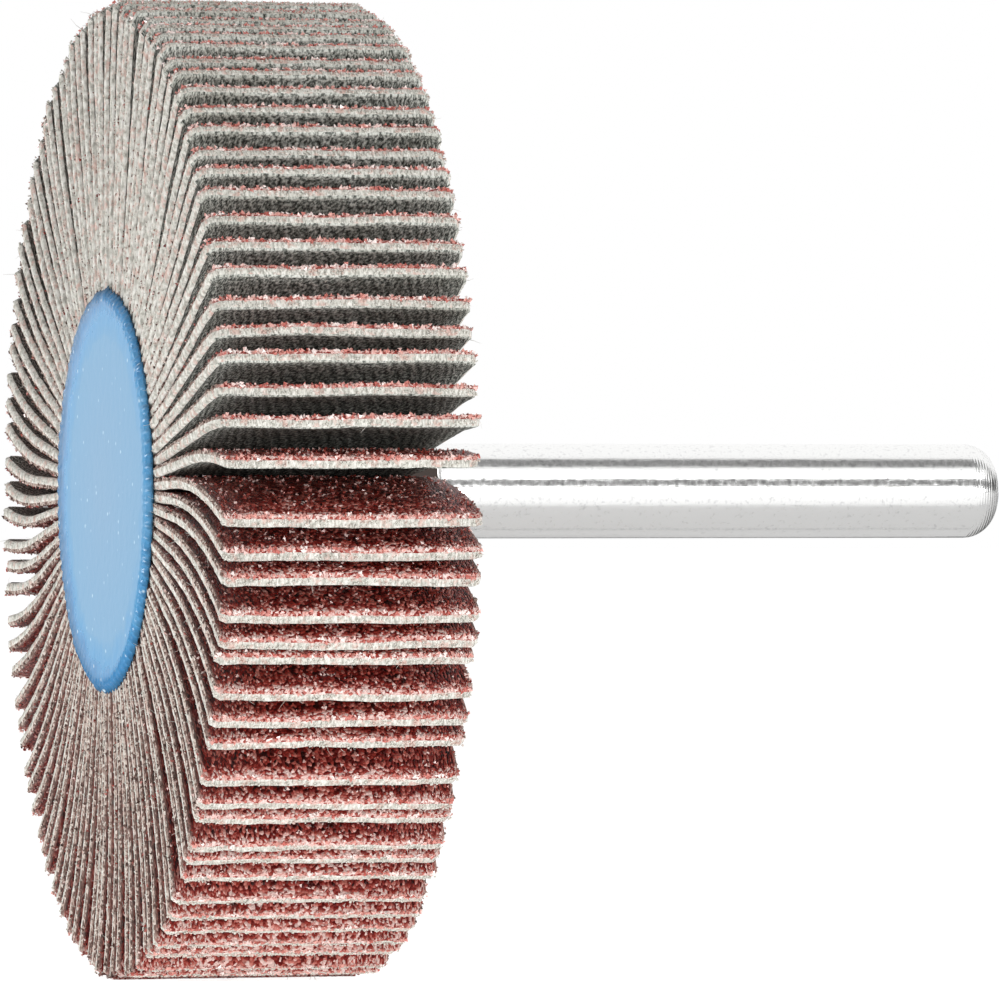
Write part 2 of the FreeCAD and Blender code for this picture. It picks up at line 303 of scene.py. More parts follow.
# Aluminium oxide grain bedded in size resin: angular crystals from maroon to rose, each a little
# glossy, dusted paler where the sheet was cut, and painted paler towards the tip as painted light.
def grain_material(sizes, colours):
    material, tree = new_material("aluminium_oxide_grain")
    grain_size = 0.14
    patch_size = 1.1
    weave = weave_coordinates(tree, 2.5)
    cells = node(tree, "ShaderNodeTexVoronoi", {"Vector": weave, "Scale": 1 / grain_size},
                 voronoi_dimensions="2D")
    patch = node(tree, "ShaderNodeTexNoise",
                 {"Vector": weave, "Scale": 1 / patch_size, "Detail": 3.0, "Roughness": 0.6},
                 noise_dimensions="2D")
    pick = node(tree, "ShaderNodeSeparateColor", {0: cells.outputs["Color"]})
    mixed = node(tree, "ShaderNodeMix", {"Factor": 0.3, 2: pick.outputs[0],
                                         3: patch.outputs["Fac"]}, data_type="FLOAT")
    at_side, at_tip = near_cut_edges(tree, sizes, 0.4, 1.1)
    # Painted light: the grain's colour is shifted paler near the tip, where light falls.
    painted_tip_light = node(tree, "ShaderNodeMath", {0: at_tip, 1: 0.36}, operation="MULTIPLY")
    share = node(tree, "ShaderNodeMath", {0: mixed.outputs[0], 1: painted_tip_light.outputs[0]},
                 operation="ADD")
    colour = node(tree, "ShaderNodeValToRGB", {"Fac": share.outputs[0]}, stops=[
        (0.18, linear("2C0705")), (0.42, linear("741915")), (0.62, colours.grain),
        (0.80, linear("D17F73")), (0.95, linear("F5D3CB"))])
    dust = node(tree, "ShaderNodeMath", {0: at_side, 1: 0.65}, operation="MULTIPLY")
    dusted = node(tree, "ShaderNodeMix", {"Factor": dust.outputs[0], 6: colour.outputs[0],
                                          7: linear("C9AFA4")}, data_type="RGBA")
    height = node(tree, "ShaderNodeMath", {0: cells.outputs["Distance"], 1: pick.outputs[1]},
                  operation="ADD")
    bump = node(tree, "ShaderNodeBump", {"Height": height.outputs[0], "Distance": 0.12 * MM,
                                         "Strength": 1.0}, invert=True)
    finish_material(tree, {"Base Color": dusted.outputs[2], "Roughness": 0.36,
                           "Specular IOR Level": 0.3, "Normal": bump.outputs[0]})
    return material


# The cut edge of the cloth: cotton fibres end-on, off-white, mottled with grey and with pink grain
# dust that the knife dragged along.
def cut_cloth_material():
    material, tree = new_material("cut_cotton_edge")
    place = node(tree, "ShaderNodeTexCoord").outputs["Object"]
    strand_size = 0.16
    strands = weave_coordinates(tree, 3.0)
    mottle = node(tree, "ShaderNodeTexNoise",
                  {"Vector": strands, "Scale": 1 / strand_size, "Detail": 2.0, "Roughness": 0.55},
                  noise_dimensions="2D")
    dust = node(tree, "ShaderNodeTexNoise",
                {"Vector": place, "Scale": per_metre(0.7), "Detail": 3.0, "Roughness": 0.7})
    base = node(tree, "ShaderNodeValToRGB", {"Fac": mottle.outputs["Fac"]}, stops=[
        (0.30, linear("ADABA2")), (0.48, linear("D8D6CD")), (0.66, linear("F1EFE8"))])
    dusty = node(tree, "ShaderNodeValToRGB", {"Fac": dust.outputs["Fac"]}, stops=[
        (0.52, (0, 0, 0, 1)), (0.66, (0.75, 0.75, 0.75, 1))])
    colour = node(tree, "ShaderNodeMix", {"Factor": dusty.outputs[0], 6: base.outputs[0],
                                          7: linear("D8B2A6")}, data_type="RGBA")
    bump = node(tree, "ShaderNodeBump", {"Height": mottle.outputs["Fac"], "Distance": 0.12 * MM,
                                         "Strength": 1.0})
    finish_material(tree, {"Base Color": colour.outputs[2], "Roughness": 0.92,
                           "Specular IOR Level": 0.12, "Normal": bump.outputs[0]})
    return material


# The cut edge of the grain layer: broken crystals and pale dust in size resin, darkened as painted
# shade.
def cut_grain_material():
    material, tree = new_material("cut_grain_edge")
    place = node(tree, "ShaderNodeTexCoord").outputs["Object"]
    cells = node(tree, "ShaderNodeTexVoronoi", {"Vector": place, "Scale": per_metre(0.2)})
    pick = node(tree, "ShaderNodeSeparateColor", {0: cells.outputs["Color"]})
    # Partly the crystals' own red-brown and partly painted shade: the dark tones stand for the gaps
    # between flaps.
    colour = node(tree, "ShaderNodeValToRGB", {"Fac": pick.outputs[0]}, stops=[
        (0.0, linear("4C352E")), (0.35, linear("866A60")), (0.7, linear("C0AA9E")),
        (1.0, linear("E9DDD3"))])
    bump = node(tree, "ShaderNodeBump", {"Height": cells.outputs["Distance"],
                                         "Distance": 0.12 * MM, "Strength": 1.0}, invert=True)
    finish_material(tree, {"Base Color": colour.outputs[0], "Roughness": 0.6,
                           "Specular IOR Level": 0.3, "Normal": bump.outputs[0]})
    return material


# Single aluminium oxide crystals: hard, glassy facets in three tints, from low to high.
def crystal_material(name, low, middle, high):
    material, tree = new_material(name)
    place = node(tree, "ShaderNodeTexCoord").outputs["Object"]
    cells = node(tree, "ShaderNodeTexVoronoi", {"Vector": place, "Scale": per_metre(0.45)})
    pick = node(tree, "ShaderNodeSeparateColor", {0: cells.outputs["Color"]})
    colour = node(tree, "ShaderNodeValToRGB", {"Fac": pick.outputs[0]}, stops=[
        (0.0, linear(low)), (0.5, linear(middle)), (0.9, linear(high))])
    finish_material(tree, {"Base Color": colour.outputs[0], "Roughness": 0.22,
                           "Specular IOR Level": 0.6})
    return material


# Loose cotton fibres at the cut edges: thin, matt and nearly white.
def fibre_material():
    material, tree = new_material("loose_cotton_fibre")
    place = node(tree, "ShaderNodeTexCoord").outputs["Object"]
    tint = node(tree, "ShaderNodeTexNoise", {"Vector": place, "Scale": per_metre(2)})
    colour = node(tree, "ShaderNodeValToRGB", {"Fac": tint.outputs["Fac"]}, stops=[
        (0.35, linear("BDB7AD")), (0.65, linear("F0EEE8"))])
    finish_material(tree, {"Base Color": colour.outputs[0], "Roughness": 0.85})
    return material


# Cast epoxy with a pale blue pigment: satin in the middle where it set level, glossy and deeper in
# colour at the rim where it wet the flaps' roots, with a thin dark line of painted shade at its
# edge and small pale spots painted on as glints. Behind the flaps it turns dark brown, painted
# shade for the hub.
def resin_material(colours):
    material, tree = new_material("cast_blue_epoxy")
    place = node(tree, "ShaderNodeTexCoord").outputs["Object"]
    axes = node(tree, "ShaderNodeSeparateXYZ", {0: place})
    flat = node(tree, "ShaderNodeCombineXYZ", {1: axes.outputs[1], 2: axes.outputs[2]})
    radius = node(tree, "ShaderNodeVectorMath", {0: flat.outputs[0]}, operation="LENGTH")
    cloud = node(tree, "ShaderNodeTexNoise",
                 {"Vector": place, "Scale": per_metre(1.8), "Detail": 4.0, "Roughness": 0.65})
    wander = node(tree, "ShaderNodeMath", {0: cloud.outputs["Fac"], 1: 2.6 * MM},
                  operation="MULTIPLY")
    outward = node(tree, "ShaderNodeMath", {0: radius.outputs["Value"], 1: wander.outputs[0]},
                   operation="ADD")
    thicker = node(tree, "ShaderNodeMath", {0: axes.outputs[1], 1: 0.12}, operation="MULTIPLY")
    reach = node(tree, "ShaderNodeMath", {0: outward.outputs[0], 1: thicker.outputs[0]},
                 operation="ADD")
    share = node(tree, "ShaderNodeMapRange", {
        "Value": reach.outputs[0], "From Min": 0.0, "From Max": CORE_HIGH.z + 1.3 * MM})
    colour = node(tree, "ShaderNodeValToRGB", {"Fac": share.outputs[0]}, stops=[
        (0.0, linear("84ACCD")), (0.78, colours.resin), (0.88, linear("529DCF")),
        (0.94, linear("3486BE")), (1.0, linear("2470A2"))])
    # Painted highlight: small pale spots scattered over the resin stand for glints.
    painted_glints = node(tree, "ShaderNodeTexVoronoi", {"Vector": place, "Scale": per_metre(1.1)})
    painted_glint = node(tree, "ShaderNodeValToRGB", {"Fac": painted_glints.outputs["Distance"]}, stops=[
        (0.05, (1, 1, 1, 1)), (0.14, (0, 0, 0, 1))])
    # Painted shade: a dark line where the coat's edge meets the flaps.
    at_rim = node(tree, "ShaderNodeMapRange", {
        "Value": radius.outputs["Value"], "From Min": CORE_HIGH.z - 0.1 * MM,
        "From Max": CORE_HIGH.z + 0.3 * MM, "To Max": 0.8})
    rim_painted_shade = node(tree, "ShaderNodeMix", {"Factor": at_rim.outputs[0], 6: colour.outputs[0],
                                          7: linear("184E6C")}, data_type="RGBA")
    glinted = node(tree, "ShaderNodeMix", {"Factor": painted_glint.outputs[0], 6: rim_painted_shade.outputs[2],
                                           7: linear("CBE6F6")}, data_type="RGBA")
    # Painted shade: behind the flaps the resin turns dark brown, standing for the hub in shadow.
    behind = node(tree, "ShaderNodeMapRange", {
        "Value": axes.outputs[0], "From Min": FLAP_LOW.x + 1 * MM,
        "From Max": FLAP_LOW.x + 3 * MM})
    toned = node(tree, "ShaderNodeMix", {"Factor": behind.outputs[0], 6: glinted.outputs[2],
                                           7: colours.hub}, data_type="RGBA")
    gloss = node(tree, "ShaderNodeValToRGB", {"Fac": share.outputs[0]}, stops=[
        (0.80, (0.42, 0.42, 0.42, 1)), (0.93, (0.22, 0.22, 0.22, 1))])
    lumps = node(tree, "ShaderNodeTexNoise",
                 {"Vector": place, "Scale": per_metre(0.8), "Detail": 3.0})
    bump = node(tree, "ShaderNodeBump", {"Height": lumps.outputs["Fac"], "Distance": 0.08 * MM,
                                         "Strength": 0.5})
    finish_material(tree, {"Base Color": toned.outputs[2], "Roughness": gloss.outputs[0],
                           "Specular IOR Level": 0.5, "Normal": bump.outputs[0]})
    return material


# Bright drawn steel: smooth and mirror-like with fine lines along it from drawing and dull specks,
# and turning lines round its collar and end.
def steel_material():
    material, tree = new_material("bright_drawn_steel")
    place = node(tree, "ShaderNodeTexCoord").outputs["Object"]
    axes = node(tree, "ShaderNodeSeparateXYZ", {0: place})
    drawn = node(tree, "ShaderNodeMapping", {
        "Vector": place, "Scale": (per_metre(2.2), per_metre(0.12), per_metre(0.12))})
    scratches = node(tree, "ShaderNodeTexNoise",
                     {"Vector": drawn.outputs[0], "Scale": 1.0, "Detail": 3.0})
    specks = node(tree, "ShaderNodeTexNoise",
                  {"Vector": place, "Scale": per_metre(0.3), "Detail": 4.0, "Roughness": 0.7})
    turned = node(tree, "ShaderNodeMath",
                  {0: axes.outputs[0], 1: 2 * math.pi * per_metre(0.19)}, operation="MULTIPLY")
    ridge = node(tree, "ShaderNodeMath", {0: turned.outputs[0]}, operation="SINE")
    way_along = node(tree, "ShaderNodeMapRange", {
        "Value": axes.outputs[0], "From Min": -2 * MM, "From Max": SHANK_HIGH.x})
    tool_marks = node(tree, "ShaderNodeValToRGB", {"Fac": way_along.outputs[0]}, stops=[
        (0.035, (1, 1, 1, 1)), (0.055, (0, 0, 0, 1)), (0.945, (0, 0, 0, 1)),
        (0.955, (1, 1, 1, 1))])
    marks = node(tree, "ShaderNodeMath",
                 {0: ridge.outputs[0], 1: tool_marks.outputs[0]}, operation="MULTIPLY")
    rough = node(tree, "ShaderNodeMapRange", {
        "Value": specks.outputs["Fac"], "From Min": 0.35, "From Max": 0.75,
        "To Min": 0.12, "To Max": 0.26})
    bump = node(tree, "ShaderNodeBump", {"Height": marks.outputs[0], "Distance": 0.014 * MM,
                                         "Strength": 0.7})
    fine = node(tree, "ShaderNodeBump", {"Height": scratches.outputs["Fac"],
                                         "Distance": 0.006 * MM, "Strength": 0.5,
                                         "Normal": bump.outputs[0]})
    pitted = node(tree, "ShaderNodeBump", {"Height": specks.outputs["Fac"],
                                           "Distance": 0.006 * MM, "Strength": 0.6,
                                           "Normal": fine.outputs[0]})
    colour = node(tree, "ShaderNodeValToRGB", {"Fac": specks.outputs["Fac"]}, stops=[
        (0.32, linear("E6E6E6")), (0.46, linear("FAFAF9"))])
    finish_material(tree, {"Base Color": colour.outputs[0], "Metallic": 1.0,
                           "Roughness": rough.outputs[0], "Normal": pitted.outputs[0]})
    return material


def deselect_all():
    if bpy.context.object and bpy.context.object.mode != "OBJECT":
        bpy.ops.object.mode_set(mode="OBJECT")
    bpy.ops.object.select_all(action="DESELECT")


def select_only(*objects):
    deselect_all()
    for item in objects:
        item.select_set(True)
    bpy.context.view_layer.objects.active = objects[0]


def coordinates(mesh):
    values = numpy.empty(len(mesh.vertices) * 3)
    mesh.vertices.foreach_get("co", values)
    return values.reshape(-1, 3)


def set_coordinates(mesh, points):
    mesh.vertices.foreach_set("co", numpy.asarray(points, dtype=float).ravel())
    mesh.update()


# Smooth noise between -1 and 1 at each point, with features about one unit across.
def noise_at(*axes):
    return numpy.array([noise.noise(point) for point in zip(*axes)])


# How far in from the rim a flap begins to curl, as a share of the usual reach. The flap just below
# the parting at the front lies over most, the curl eases all the way round, and the first ones
# above the parting are drawn down after it. Two waves round the wheel (share, radians per flap,
# start) make them uneven.
PARTING = 79
MOST_SHARE = 1.2
LEAST_SHARE = 0.3
EASING = 1.4
DRAWN_SHARE = 0.6
UNEVEN_WAVES = ((0.08, 2.1, 0.0), (0.06, 0.83, 0.6))

# How many times rounder the corners of the flaps above the parting are worn.
WORN_CORNERS = 3


def reach_share(index):
    way_round = ((PARTING - index) % FLAP_COUNT) / (FLAP_COUNT - 1)
    share = MOST_SHARE - (MOST_SHARE - LEAST_SHARE) * way_round ** EASING
    share += DRAWN_SHARE * math.exp(-((index - PARTING - 1) % FLAP_COUNT))
    for height, turn, start in UNEVEN_WAVES:
        share += height * math.sin(turn * index + start)
    return share


class Flap:
    """One flap's bent form, in millimetres: across is towards the grain side, up is outwards."""

    def __init__(self, sizes, index):
        self.index = index
        self.random = numpy.random.default_rng(index + 1)
        self.half = sizes.thickness / 2 / MM
        self.rim = sizes.rim / MM
        self.width = (sizes.back - sizes.front) / MM
        self.back = sizes.back / MM + self.random.uniform(*SET_ASTRAY)
        self.longer = self.random.uniform(*LENGTH_ASTRAY)
        self.corner = sizes.corner / MM * (WORN_CORNERS if index > PARTING else 1)
        self.root = CORE_HIGH.z / MM - ROOT_DEPTH
        self.start = self.rim - sizes.reach / MM * reach_share(index)
        self.turn = math.radians(90) + (index - 0.5) * PITCH
        self.curls = (sizes.cloth_curl / MM, sizes.grain_curl / MM)
        self.centres = (-self.half - self.curls[0], self.half - self.curls[1])
        self.arcs = [self.arc_to_rim(side) for side in (0, 1)]
        self.length = self.start - self.root + self.arcs[0] * self.curls[0]

    def arc_to_rim(self, side):
        """The angle of curl at which this side meets the rim circle, found by halving."""
        low, high = 0.0, 1.2
        for _ in range(40):
            angle = (low + high) / 2
            across = self.centres[side] + self.curls[side] * math.cos(angle)
            up = self.start + self.curls[side] * math.sin(angle)
            if math.hypot(across, up) < self.rim:
                low = angle
            else:
                high = angle
        return low

    def side_point(self, side, share):
        """Points and outward normals (across, up) at shares of the way from root to tip."""
        curl = self.curls[side]
        straight = self.start - self.root
        along = share * (straight + self.arcs[side] * curl)
        angle = numpy.maximum(along - straight, 0) / curl
        across = self.centres[side] + curl * numpy.cos(angle)
        up = self.root + numpy.minimum(along, straight) + curl * numpy.sin(angle)
        return numpy.stack([across, up, numpy.cos(angle), numpy.sin(angle)])

    def spot(self, columns, rows, depth):
        """Points (x, across, up), grain-side normals and tipward tangents on the bent sheet.

        columns run from the rear edge (0) to the front (1), rows from root to tip, and depth from
        the cloth (0) to the grain (1).
        """
        axial = self.back - self.width * columns
        from_edge = self.width * numpy.minimum(columns, 1 - columns)
        short = numpy.clip(self.corner - from_edge, 0, self.corner)
        worn = self.corner - numpy.sqrt(self.corner ** 2 - short ** 2)
        share = rows * (1 + (self.longer - worn) / self.length)
        cloth = self.side_point(0, share)
        grain = self.side_point(1, share)
        across, up, normal_across, normal_up = cloth * (1 - depth) + grain * depth
        own = numpy.full_like(axial, self.index * 7.3)
        belly = noise_at(axial / BELLY_LENGTH, share * 2.2, own)
        across = across + BELLY_HEIGHT * belly * share ** 2
        none = numpy.zeros_like(across)
        points = numpy.stack([axial, across, up], 1)
        normals = numpy.stack([none, normal_across, normal_up], 1)
        tangents = numpy.stack([none, -normal_up, normal_across], 1)
        return points, normals, tangents

    def to_wheel(self, points):
        """From (x, across, up) in millimetres to the wheel's frame in metres."""
        sine, cosine = math.sin(self.turn), math.cos(self.turn)
        axial, across, up = points[:, 0], points[:, 1], points[:, 2]
        level, height = across * sine - up * cosine, across * cosine + up * sine
        return numpy.stack([axial, level, height], 1) * MM


def flap_blank():
    """A flat blank one unit wide and long, cloth below and grain on top, in thin layers."""
    deselect_all()
    bpy.ops.mesh.primitive_grid_add(x_subdivisions=COLUMNS, y_subdivisions=ROWS, size=1,
                                    calc_uvs=True)
    blank = bpy.context.object
    blank.data.uv_layers[0].name = "flap"
    bpy.ops.object.mode_set(mode="EDIT")
    bpy.ops.mesh.select_all(action="SELECT")
    for lower, upper in zip(LAYERS, LAYERS[1:]):
        bpy.ops.mesh.extrude_region_move(TRANSFORM_OT_translate={"value": (0, 0, upper - lower)})
    bpy.ops.mesh.select_all(action="SELECT")
    bpy.ops.mesh.normals_make_consistent(inside=False)
    bpy.ops.object.mode_set(mode="OBJECT")
    bpy.ops.object.shade_smooth_by_angle(angle=math.radians(80))
    for face in blank.data.polygons:
        at_tip = face.normal.y > 0.5
        if face.normal.z < -0.5 or at_tip and face.center.z < LAYERS[1]:
            face.material_index = TWILL
        elif face.normal.z > 0.5 or at_tip and face.center.z > GRAIN_FROM:
            face.material_index = GRAIN
        elif face.center.z > GRAIN_FROM:
            face.material_index = CUT_GRAIN
        else:
            face.material_index = CUT_CLOTH
    return blank


# The weave's own coordinates in millimetres. They carry on round the cut edges, faster at the tip,
# where the pattern is drawn out, and are shifted so that no two flaps are cut alike.
def lay_weave(flap, mesh):
    corners = numpy.empty(len(mesh.loops), dtype=int)
    mesh.loops.foreach_get("vertex_index", corners)
    places = coordinates(mesh)[corners]
    totals = numpy.empty(len(mesh.polygons), dtype=int)
    mesh.polygons.foreach_get("loop_total", totals)
    facing = numpy.repeat([face.normal[:2] for face in mesh.polygons], totals, axis=0)
    round_edge = 2 * flap.half * numpy.minimum(places[:, 2], 1 - places[:, 2])
    weave = places[:, :2] * (flap.width, flap.length) + facing * (1, 3) * round_edge[:, None]
    weave += flap.random.uniform(20, 400, 2)
    mesh.uv_layers.new(name="weave").data.foreach_set("uv", weave.ravel())


def bend_blank(flap, mesh, blank_points):
    columns = blank_points[:, 0] + 0.5
    rows = blank_points[:, 1] + 0.5
    depth = blank_points[:, 2]
    at_front = columns > 1 - 1e-6
    at_back = columns < 1e-6
    at_tip = rows > 1 - 1e-6

    # Columns and rows are closer together towards the edges that show.
    columns = columns - 0.06 * numpy.sin(2 * math.pi * columns)
    rows = rows + 0.3 * rows * (1 - rows)
    points, normals, tangents = flap.spot(columns, rows, depth)

    # Grain stands proud in lumps, and the cloth side is a little uneven.
    seed = flap.index * 13.7
    along = rows * flap.length
    axial = points[:, 0]
    lumps = noise_at(axial / LUMP_LENGTH, along / LUMP_LENGTH, depth + seed)
    on_cloth = numpy.where(depth < 0.01, CLOTH_LUMPS * lumps, 0)
    relief = numpy.where(depth > 0.99, GRAIN_LUMPS * lumps, on_cloth)
    points += normals * relief[:, None]

    # Cut edges are ragged, and rounded towards the cloth side.
    ragged = noise_at(along / RAG_LENGTH, axial / RAG_LENGTH, depth + seed + 50)
    profile = numpy.interp(depth, LAYERS, EDGE_PROFILE)
    aside = SIDE_RAGS * ragged + profile
    points[:, 0] += numpy.where(at_front, -aside, 0) + numpy.where(at_back, aside, 0)
    points += tangents * numpy.where(at_tip, TIP_RAGS * ragged + profile, 0)[:, None]
    set_coordinates(mesh, flap.to_wheel(points))


def crystal_template():
    """One crystal: a splinter with four faces."""
    deselect_all()
    bpy.ops.mesh.primitive_cone_add(vertices=3, radius1=0.6, radius2=0, depth=0.9,
                                    end_fill_type="NGON", calc_uvs=False)
    return bpy.context.object


def tuft_template():
    """One tuft of cut thread: a small rounded lump."""
    deselect_all()
    bpy.ops.mesh.primitive_ico_sphere_add(subdivisions=1, radius=0.5, calc_uvs=False)
    tuft = bpy.context.object
    bpy.ops.object.modifier_add(type="DECIMATE")
    tuft.modifiers[0].ratio = 0.4
    bpy.ops.object.modifier_apply(modifier=tuft.modifiers[0].name)
    return tuft


def fibre_template():
    """One straight fibre, one unit long up Z and one unit across, thinner at its free end."""
    deselect_all()
    bpy.ops.mesh.primitive_cone_add(vertices=3, radius1=0.5, radius2=0.2, depth=1,
                                    calc_uvs=False)
    fibre = bpy.context.object
    bpy.ops.object.mode_set(mode="EDIT")
    bpy.ops.mesh.select_all(action="SELECT")
    bpy.ops.mesh.bisect(plane_co=(0, 0, 0), plane_no=(0, 0, 1))
    bpy.ops.object.mode_set(mode="OBJECT")
    return fibre


def stamped(name, points, template, material_index, smooth):
    """A mesh of many copies of a template: points holds a row of new places for each copy."""
    count, per_copy = points.shape[:2]
    faces = [tuple(face.vertices) for face in template.data.polygons]
    all_faces = [tuple(place + copy * per_copy for place in face)
                 for copy in range(count) for face in faces]
    mesh = bpy.data.meshes.new(name)
    mesh.from_pydata(points.reshape(-1, 3).tolist(), [], all_faces)
    mesh.polygons.foreach_set("material_index", [material_index] * len(mesh.polygons))
    mesh.polygons.foreach_set("use_smooth", [smooth] * len(mesh.polygons))
    mesh.update()
    return mesh


# How much a crystal or tuft is drawn out or flattened each way, as a share of its size.
CRUMB_SPREAD = 0.45


def tumbled(flap, template, centres, size):
    """Copies of a template at the centres, each turned and stretched its own way."""
    count = len(centres)
    turns, _ = numpy.linalg.qr(flap.random.normal(size=(count, 3, 3)))
    stretch = size * flap.random.uniform(1 - CRUMB_SPREAD, 1 + CRUMB_SPREAD, (count, 1, 3))
    points = (coordinates(template.data)[None, :, :] * stretch) @ turns + centres[:, None, :]
    return flap.to_wheel(points.reshape(-1, 3)).reshape(points.shape)


# How far in from the front and rear edges crumbs sit, as a share of the width.
EDGE_IN = 0.003


def edge_spots(flap, counts, depths):
    """Columns, rows and depths of scattered places along the tip, front and rear cut edges."""
    random = flap.random
    tip, front, back = counts
    columns = numpy.concatenate([random.uniform(EDGE_IN, 1 - EDGE_IN, tip),
                                 numpy.full(front, 1 - EDGE_IN), numpy.full(back, EDGE_IN)])
    rows = numpy.concatenate([numpy.full(tip, 1.001), random.uniform(0.0, 1.0, front),
                              random.uniform(0.3, 1.0, back)])
    depth = random.uniform(*depths, sum(counts))
    return columns, rows, depth


# Crystals on each grain face: how many, the share of its length that they reach down from the tip,
# how much closer they lie there, and their depth.
FACE_CRYSTALS, FACE_REACH, FACE_CROWDING, FACE_DEPTH = 600, 0.85, 1.3, 1.03


def scatter_crystals(flap, sizes, template):
    columns = flap.random.uniform(0, 1, FACE_CRYSTALS)
    rows = 1 - FACE_REACH * flap.random.uniform(0, 1, FACE_CRYSTALS) ** FACE_CROWDING
    centres = flap.spot(columns, rows, numpy.full(FACE_CRYSTALS, FACE_DEPTH))[0]
    points = tumbled(flap, template, centres, sizes.grit / MM)
    return stamped("crystals", points, template, CRYSTAL, False)


# How many crumbs lie along the tip, front and rear edges, and between which depths: crystals at
# the tip, crystals pale with dust at the sides, and tufts of cut thread.
TIP_CRUMBS = ((120, 0, 0), (0.73, 1.06))
SIDE_CRUMBS = ((0, 40, 30), (0.76, 0.98))
TUFT_CRUMBS = ((130, 80, 30), (0.2, 0.64))


def scatter_crumbs(flap, template, size, crumbs, material_index, smooth):
    centres = flap.spot(*edge_spots(flap, *crumbs))[0]
    points = tumbled(flap, template, centres, size / MM)
    return stamped("crumbs", points, template, material_index, smooth)


# Fibres are placed as crumbs are. Their width and length are in millimetres, and their splay and
# sag are shares of the length.
FIBRES = ((6, 6, 3), (0.05, 0.5))
FIBRE_WIDTH = 0.04
FIBRE_LENGTH = (0.15, 0.5)
FIBRE_SPLAY, FIBRE_SAG = 0.7, 0.5


def scatter_fibres(flap, template):
    random = flap.random
    columns, rows, depth = edge_spots(flap, *FIBRES)
    roots, _, tangents = flap.spot(columns, rows, depth)
    count = len(roots)
    at_tip = rows > 1
    sideways = numpy.where(at_tip, 0, numpy.where(columns > 0.5, -1, 1))
    outward = tangents * at_tip[:, None]
    outward[:, 0] = sideways
    heading = outward + random.normal(0, FIBRE_SPLAY, (count, 3))
    heading /= numpy.linalg.norm(heading, axis=1)[:, None]
    sag = random.normal(0, FIBRE_SAG, (count, 3))
    length = random.uniform(*FIBRE_LENGTH, count)
    side = numpy.cross(heading, random.normal(size=(count, 3)))
    side /= numpy.linalg.norm(side, axis=1)[:, None]
    other = numpy.cross(heading, side)

    shape = coordinates(template.data)
    along = (shape[:, 2] + 0.5)[None, :, None]
    points = (roots[:, None, :]
              + heading[:, None, :] * along * length[:, None, None]
              + sag[:, None, :] * along ** 2 * length[:, None, None]
              + side[:, None, :] * shape[None, :, 0, None] * FIBRE_WIDTH
              + other[:, None, :] * shape[None, :, 1, None] * FIBRE_WIDTH)
    points = flap.to_wheel(points.reshape(-1, 3)).reshape(points.shape)
    return stamped("fibres", points, template, FIBRE, True)


def join_as(name, meshes, materials):
    objects = []
    for mesh in meshes:
        for material in materials:
            mesh.materials.append(material)
        item = bpy.data.objects.new(name, mesh)
        bpy.context.scene.collection.objects.link(item)
        objects.append(item)
    select_only(*objects)
    bpy.ops.object.join()
    joined = bpy.context.object
    joined.name = name
    joined.data.name = name
    return joined


class FLAPWHEEL_OT_flaps(bpy.types.Operator):
    """Bend, fray and grain the flaps of coated cloth, two to each frame node"""
    bl_idname = "flap_wheel.flaps"
    bl_label = "Build Flaps"

    def execute(self, context):
        sizes = context.scene.flap_sizes
        colours = context.scene.finish_colours
        materials = [twill_material(sizes, colours), grain_material(sizes, colours),
                     cut_cloth_material(), cut_grain_material(),
                     crystal_material("aluminium_oxide_crystal", "6A1A14", "B35549", "F8DCD5"),
                     # The tip crystals get paler tints than those on the faces: painted light for
                     # the tips, where light falls.
                     crystal_material("painted_tip_light_oxide_crystal", "C4655A", "E9AEA3", "FDEEE9"),
                     fibre_material()]
        blank = flap_blank()
        crystal = crystal_template()
        tuft = tuft_template()
        fibre = fibre_template()
        crumbs = ((crystal, 1.2 * sizes.grit, TIP_CRUMBS, TIP_CRYSTAL, False),
                  (crystal, sizes.grit, SIDE_CRUMBS, CUT_GRAIN, False),
                  (tuft, sizes.tuft, TUFT_CRUMBS, CUT_CLOTH, True))
        blank_points = coordinates(blank.data)
        for pair, node_name in enumerate(FLAP_NODES):
            meshes = []
            for side in (0, 1):
                flap = Flap(sizes, 2 * pair + side)
                sheet = blank.data.copy()
                lay_weave(flap, sheet)
                bend_blank(flap, sheet, blank_points)
                meshes += [sheet, scatter_crystals(flap, sizes, crystal)]
                meshes += [scatter_crumbs(flap, *kind) for kind in crumbs]
                meshes.append(scatter_fibres(flap, fibre))
            piece = join_as("coated_flaps_%02d" % (pair + 1), meshes, materials)
            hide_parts(node_name)
            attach(piece, "root")
        for template in (blank, crystal, tuft, fibre):
            bpy.data.objects.remove(template)
        return {"FINISHED"}


# The front coat's rim: how far out it lies on the whole and how far its lobes and its wander take
# it, as shares of the creep. Its edge drops and its underside bulges by these millimetres, and it
# runs down over the last share of the way out, behind a bead.
RIM_OUT, RIM_LOBES, RIM_WANDER = 0.35, 0.5, 0.7
EDGE_DROP, UNDER_BULGE, BEAD_HEIGHT = 0.32, 0.2, 0.08
RUN_FROM, RUN_WIDTH, BEAD_WIDTH = 0.95, 0.05, 0.02


